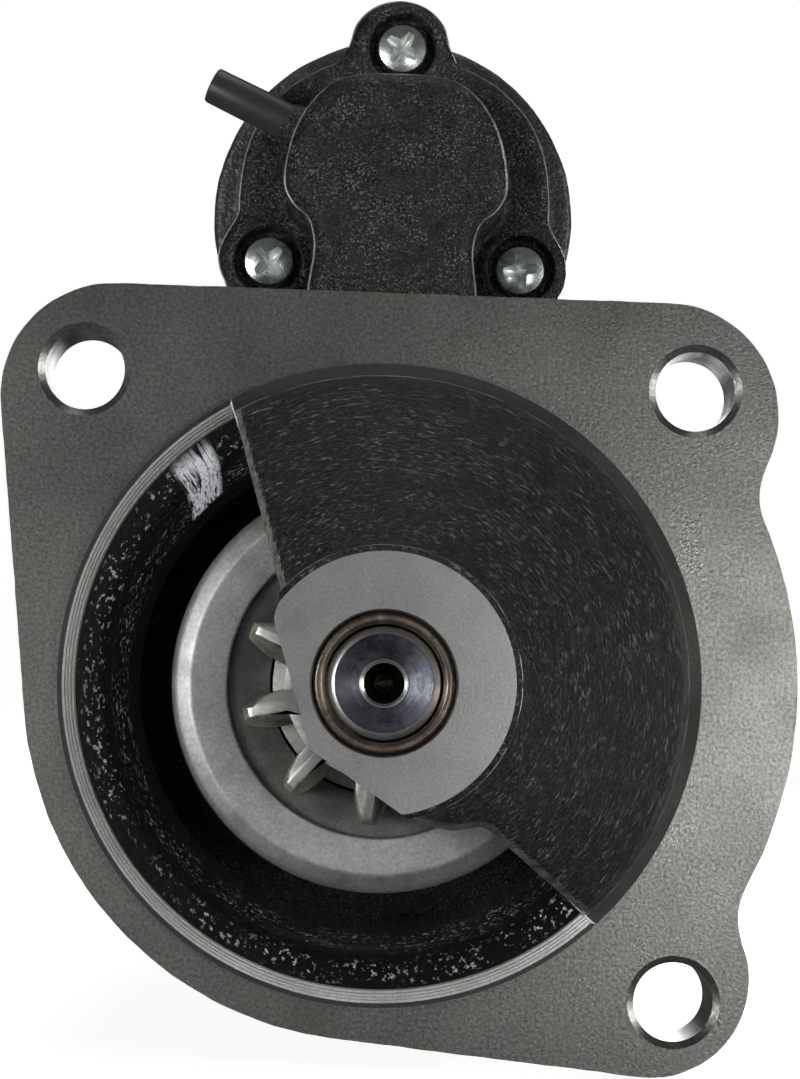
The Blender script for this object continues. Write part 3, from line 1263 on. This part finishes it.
def build_pole_screw(number, at):
    """A countersunk screw with a straight slot."""
    profile = [(0, 35.2), (3.4, 35.2), (4.0, 35.8), (4.0, 45.1), (7.9, 48.45, 0.15),
               (7.9, 48.8, 0.15), (7.2, 48.95, 0.2), (0, 48.95)]
    screw = soft_lathe(f"pole_bolt_{number}", profile, 0.15, 2, 72, at)
    screw = cut(screw, box("slot", -0.95, 0.95, -10, 10, 47.2, 52, at))
    finish_piece(screw, f"pole_screw_{number}", "zinc_plate", angle=28)


build_yoke()
for number, angle in enumerate(POLE_ANGLES, 1):
    build_pole_screw(number, radial(angle, POLE_Y))


# ------------------------------------------------------------------ commutator end
def build_end_bell():
    profile = [
        (42.0, 173.5, 0.3), (43.2, 173.5, 0.4), (43.2, 176.3, 0.1), (YOKE_RADIUS, 176.3, 0.5),
        (YOKE_RADIUS, 211.5, 6.0), (43.5, 221.0, 6.0), (20.5, 222.0, 1.0), (10.25, 222.0, 0.3),
        (10.25, 207.5, 0.2), (13.5, 207.5, 0.4), (14.5, 214.5, 1), (40.0, 214.5, 1),
        (40.0, 207.2, 0.2), (42.0, 206.8, 0.2)]
    end = soft_lathe("end_bell", profile, 0.3, 7, 224)
    sides = (-1, 1)
    bolts = [along_y(side * THROUGH_BOLT_X) for side in sides]
    end = join(end, *[cylinder("bolt boss", 6.2, 207.4, 221.4, 48, along_y(side * 38.2))
                      for side in sides])
    end = cut(end, heap("bolt holes", [cylinder("hole", 3.1, 160, 230, 40, at) for at in bolts]))
    end = cut(end, heap("bolt seats", [cylinder("seat", 6.8, 218.5, 230, 64, at) for at in bolts]))
    end = cut(end, heap("taps", [cylinder("tap", 1.9, 216.2, 230, 32,
                                          along_y(z=side * BEARING_SCREW_Z)) for side in sides]))
    finish_piece(end, "end_housing", "satin_black_paint")


def build_bearing_cap():
    profile = [(0, 228.8), (9.8, 228.8, 1.0), (11.5, 227.2, 1.0), (12.0, 224.2, 0.9),
               (19.2, 224.0, 0.4), (19.6, 223.4, 0.3), (19.6, 222.3, 0.1), (10.6, 222.3, 0.1),
               (10.2, 226.8, 0.6), (0, 227.0)]
    cap = soft_lathe("bearing_cap", profile, 0.3, 5, 160)
    cap = cut(cap, heap("holes", [cylinder("hole", 2.1, 220, 230, 32,
                                           along_y(z=side * BEARING_SCREW_Z))
                                  for side in (-1, 1)]))
    finish_piece(cap, "end_cap", "satin_black_paint")


def build_through_bolt(tag, side):
    """A long bolt running forward from the end bell, with a washer and a hexagon head."""
    at = aim((side * THROUGH_BOLT_X, 218.9, 0), (0, -1, 0))
    stem = lathe(f"tie_bolt_{tag}", [(0, -0.1), (2.5, -0.1), (2.5, 166.0), (1.9, 166.8),
                                     (0, 166.8)], 48, at)
    turned_over = at @ Matrix.Rotation(pi, 4, "X") @ Matrix.Translation((0, 0, 5.5))
    head = hex_body("head", 9.7, -4.6, -0.9, turned_over)
    ring = soft_lathe("washer", [(0, -1.1), (6.3, -1.1), (6.3, 0.2), (0, 0.2)], 0.2, 2, 64, at)
    finish_piece(join(stem, ring, head), f"through_bolt_{tag}", "zinc_plate",
                 angle=28)


build_end_bell()
build_bearing_cap()
for tag, side, spin in (("top", 1, 0.2), ("bottom", -1, 0.9)):
    cross_screw(f"cap_screw_{tag}", f"end_cap_screw_{tag}",
                aim((0, 224.5, side * BEARING_SCREW_Z), (0, -1, 0)), head_radius=3.3,
                head_height=2.2, shank_radius=1.6, length=7.6, spin=spin, pitch=0.7)
for tag, side in (("left", -1), ("right", 1)):
    build_through_bolt(tag, side)

# ------------------------------------------------------------------ fork pivot bolt
pivot = lathe("pivot_bolt", [(0, -20.5), (3.4, -20.5), (4.0, -19.9), (4.0, 27.6), (0, 27.6)], 64,
              PIVOT)
pivot = join(pivot, hex_body("head", 11.9, 27.5, 31.3, PIVOT))
finish_piece(pivot, "fork_pivot_bolt", "zinc_plate", angle=28)

# ------------------------------------------------------------------ solenoid
BATTERY_POST, MOTOR_POST = (0, SOLENOID_Z + 12.5), (0, SOLENOID_Z - 12.5)
TRIGGER_POST = (14.8, SOLENOID_Z + 3.5)


def build_solenoid_case():
    profile = [
        (9.75, YOKE_FRONT, 0.2), (27.6, YOKE_FRONT, 0.8), (28.0, 68.0, 1.0), (28.0, 123.4, 0.8),
        (27.5, 124.2, 0.5), (27.5, 125.3, 0.5), (27.9, 126.0, 0.5), (27.4, 127.6, 0.8),
        (25.6, 127.6, 0.3), (25.6, 74.8, 0.2), (9.75, 74.8, 0.2)]
    case = soft_lathe("solenoid_can", profile, 0.3, 5, 200, SOLENOID)
    case = cut(case, heap("taps", [cylinder("tap", 2.5, 60, 74.2, 32, along_y(x, z))
                                   for x, z in SOLENOID_SCREWS]))
    finish_piece(case, "solenoid_case", "satin_black_paint")


def build_terminal_cap():
    profile = [
        (0, 152.0), (22.5, 152.0, 1.6), (23.9, 150.4, 1.4), (24.4, 128.2, 0.6),
        (25.2, 127.2, 0.4), (25.2, 120.9, 0.2), (21.5, 120.9, 0.2), (21.2, 146.2, 0.5),
        (0, 146.2)]
    boss = [(0, 148), (8.4, 148, 0.1), (8.2, 154.5, 0.7), (0, 154.5)]
    cap = soft_lathe("terminal_cap", profile, 0.3, 6, 200, SOLENOID)
    bosses = [soft_lathe("post boss", boss, 0.3, 4, 72, along_y(*post))
              for post in (BATTERY_POST, MOTOR_POST)]
    ribs = [box("upright rib", -1.1, 1.1, 149, 156.2, SOLENOID_Z - 3.0, SOLENOID_Z + 3.0,
                bevel=0.3),
            box("cross rib", -9.5, 9.5, 149, 155.2, SOLENOID_Z - 1.1, SOLENOID_Z + 1.1,
                bevel=0.3)]
    cap = join(cap, *bosses, *ribs)
    holes = ((BATTERY_POST, 4.3), (MOTOR_POST, 4.3), (TRIGGER_POST, 2.4))
    cap = cut(cap, *[cylinder("post hole", r, 140, 160, 40, along_y(*post)) for post, r in holes])
    finish_piece(cap, "solenoid_cap", "moulded_phenolic")


def build_stud(name, node, post, finish, *, radius, head_radius, head, tip, pitch):
    """A threaded stud along +y; head and tip are the y of its two ends."""
    profile = [(0, head), (head_radius - 0.3, head), (head_radius, head + 0.3),
               (head_radius, 145.6), (head_radius - 0.3, 145.9), (radius, 145.9),
               (radius, 153.5)]
    profile += threads(153.8, tip - 0.9, radius, pitch * 0.42, pitch, crest=0.60)
    profile += [(radius - pitch * 0.4, tip - 0.9), (radius - 0.9, tip), (0, tip)]
    finish_piece(lathe(name, profile, 72, along_y(*post)), node, finish, angle=28)


def build_nut(name, node, post, y0, y1, radius=4.2, across=13.0):
    at = along_y(*post)
    bore = [(0, y0 - 1), (radius + 0.9, y0 - 0.02), (radius + 0.05, y0 + 0.8),
            (radius + 0.05, y1 - 0.8), (radius + 0.9, y1 + 0.02), (0, y1 + 1)]
    nut = cut(hex_body(name, across, y0, y1, at, both=True), lathe("nut bore", bore, 64, at))
    finish_piece(nut, node, "zinc_plate", angle=28)


# the lead's middle line from the motor post down into the yoke: y, z
LEAD_PATH = [(155.8, 60.0), (155.8, 55.5), (156.4, 53.0), (158.6, 51.6), (162.2, 51.2),
             (164.6, 49.8), (165.4, 47.0), (165.4, 41.6)]


def build_lead():
    """A flat braid swept along its path, with an eye round the motor post."""
    path = smooth_line(LEAD_PATH)
    section = rounded([(-5.2, -0.85), (5.2, -0.85), (5.2, 0.85), (-5.2, 0.85)], 0.6, 3)
    rows = []
    for i, (y, z) in enumerate(path):
        before, after = Vector(path[max(i - 1, 0)]), Vector(path[min(i + 1, len(path) - 1)])
        along = (after - before).normalized()
        normal = Vector((-along.y, along.x))
        rows.append([(u, y + normal.x * v, z + normal.y * v) for u, v in section])
    at = along_y(*MOTOR_POST)
    lead = loft("braided_lead", rows)
    eye = [(0, 154.95), (7.6, 154.95), (7.6, 156.65), (0, 156.65)]
    lead = join(lead, soft_lathe("eye", eye, 0.3, 2, 96, at))
    lead = cut(lead, cylinder("eye hole", 4.3, 150, 160, 48, at))
    finish_piece(lead, "motor_lead", "copper_braid")


build_solenoid_case()
build_terminal_cap()
build_stud("battery_stud", "battery_terminal", BATTERY_POST, "bare_copper",
           radius=4.0, head_radius=6.6, head=139.4, tip=172.0, pitch=1.25)
build_stud("motor_stud", "motor_terminal", MOTOR_POST, "bare_copper",
           radius=4.0, head_radius=6.6, head=139.4, tip=170.0, pitch=1.25)
build_stud("trigger_stud", "trigger_terminal", TRIGGER_POST, "zinc_plate",
           radius=2.1, head_radius=3.4, head=142.4, tip=164.0, pitch=0.7)
build_nut("battery_hex_nut", "battery_nut", BATTERY_POST, 154.8, 161.0)
build_nut("motor_hex_nut", "motor_nut", MOTOR_POST, 157.0, 163.2)
build_lead()

# ------------------------------------------------------------------ pieces that keep their shape
KEPT = {
    "oiled_steel": ["intermediate_plate", "shift_collar", "clutch_driver", "shift_fork"],
    "varnished_tape": ["field_coils"],
    "bush_bronze": ["rear_bush"],
    "zinc_plate": ["brush_plate"],
    "black_rubber": ["lead_grommet"],
    "varnished_copper": ["solenoid_coil", "armature_winding"],
    "plain_steel": ["solenoid_core", "plunger"],
    "spring_wire": ["return_spring", "meshing_spring"]
                   + [f"brush_spring_{i}" for i in range(1, 5)],
    "stacked_laminations": ["armature_core"] + [f"pole_shoe_{i}" for i in range(1, 5)],
    "commutator_copper": ["commutator"],
    "bare_copper": ["contact_bridge"],
    "brush_carbon": [f"brush_{i}" for i in range(1, 5)]}
for finish, names in KEPT.items():
    for name in names:
        ob = NODES[name]
        if not ob.material_slots:
            ob.data.materials.append(MATERIALS[finish])
        for slot in ob.material_slots:
            slot.material = MATERIALS[finish]


def sprung(node):
    """A coil held at its far end along the axis and shortened by its joint's stroke in metres."""
    coil = add(f"{node}_coil", NODES[node].data.copy())
    finish_piece(coil, node, "spring_wire", angle=50)
    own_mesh(coil)


sprung("return_spring")
for i, (x, z) in enumerate(((1, 1), (-1, 1), (-1, -1), (1, -1)), 1):
    sprung(f"brush_spring_{i}")

# ------------------------------------------------------------------ stage (metres)
FLOOR_Z = CAD_BOX[0][2] - 0.0006
FLOOR_FRONT, BEND_Y, BEND_RADIUS, BEND_STEPS = -1.6, 1.1, 0.5, 12
WALL_Y, WALL_TOP, HALF_WIDTH = 1.6, 3.0, 3.0


def build_stage():
    """A pale floor that curves up into a wall well behind the part."""
    profile = [(FLOOR_FRONT, FLOOR_Z), (BEND_Y, FLOOR_Z)]
    for k in range(1, BEND_STEPS + 1):
        a = pi / 2 * k / BEND_STEPS
        profile.append((BEND_Y + BEND_RADIUS * sin(a), FLOOR_Z + BEND_RADIUS * (1 - cos(a))))
    profile.append((WALL_Y, WALL_TOP))
    verts = [(x, y, z) for y, z in profile for x in (-HALF_WIDTH, HALF_WIDTH)]
    faces = [(2 * i, 2 * i + 1, 2 * i + 3, 2 * i + 2) for i in range(len(profile) - 1)]
    mesh = bpy.data.meshes.new("studio_floor")
    mesh.from_pydata(verts, [], faces)
    ob = add("studio_floor", mesh)
    mesh.shade_smooth()
    material, nodes, principled = new_material("studio_white")
    principled.inputs["Roughness"].default_value = 0.7
    principled.inputs["Specular IOR Level"].default_value = 0.1
    # bright to the camera, dimmer in what it throws back on the part
    seen = nodes.add("LightPath").outputs["Is Camera Ray"]
    nodes.feed(principled.inputs["Base Color"], nodes.ramp(seen, 0, 1, 0.30, 0.60))
    principled.inputs["Emission Color"].default_value = (1, 1, 1, 1)
    nodes.feed(principled.inputs["Emission Strength"], nodes.times(seen, 0.88))
    mesh.materials.append(material)


def build_world():
    """White to the camera, faint as a light."""
    world = bpy.data.worlds.new("studio")
    bpy.context.scene.world = world
    world.use_nodes = True
    nodes = Nodes(world.node_tree)
    background = world.node_tree.nodes["Background"]
    background.inputs["Color"].default_value = (1, 1, 1, 1)
    seen = nodes.add("LightPath").outputs["Is Camera Ray"]
    nodes.feed(background.inputs["Strength"], nodes.ramp(seen, 0, 1, 0.075, 1.0))


# name, place, target, width, height, watts
LIGHTS = [
    ("soft_right", (0.230, -0.76, -0.010), (0.02, -0.02, -0.01), 0.14, 0.10, 0.66),
    ("left_card", (-0.235, -0.74, -0.08), (-0.02, 0, -0.01), 0.16, 0.16, 0.40),
    ("low_card", (0.00, -0.70, -0.30), (0, 0, -0.02), 0.15, 0.15, 0.25),
    ("side_right", (0.72, -0.30, 0.02), (0.0, 0.05, 0.02), 0.40, 0.40, 4.2),
    ("soft_left", (-0.53, -0.50, 0.02), (0, 0, 0.0), 0.24, 0.18, 3.2),
    ("soft_top", (0.05, 0.10, 0.85), (0, 0.05, 0.02), 0.50, 0.50, 1.6),
    ("window_fill", (-0.19, -0.66, -0.26), (-0.02, 0.0, 0.01), 0.13, 0.13, 1.4),
    ("back_soft", (0.25, 1.15, 0.22), (0, 0.12, 0.02), 0.5, 0.5, 7.0)]


def build_light(name, at, target, width, height, power):
    light = bpy.data.lights.new(name, "AREA")
    light.shape = "RECTANGLE"
    light.size, light.size_y = width, height
    light.energy = power
    ob = add(name, light)
    ob.location = at
    ob.rotation_euler = (Vector(target) - Vector(at)).to_track_quat("-Z", "Y").to_euler()


def build_camera():
    """Looks along +y at the nose, rolled a little; the shifts centre the motor in the frame."""
    data = bpy.data.cameras.new("camera")
    data.sensor_width = 36.0
    data.lens = 90.750695088
    data.shift_x, data.shift_y = 0.04170528267, 0.14596848934
    data.clip_start, data.clip_end = 0.01, 20
    camera = add("camera", data)
    camera.matrix_world = (Matrix.Translation((-0.003408, -0.393, -0.001756))
                           @ Matrix.Rotation(radians(-2.1), 4, "Y")
                           @ Matrix.Rotation(radians(90), 4, "X"))
    bpy.context.scene.camera = camera


build_stage()
build_world()
for light in LIGHTS:
    build_light(*light)
build_camera()
bpy.context.scene.view_settings.view_transform = "Standard"
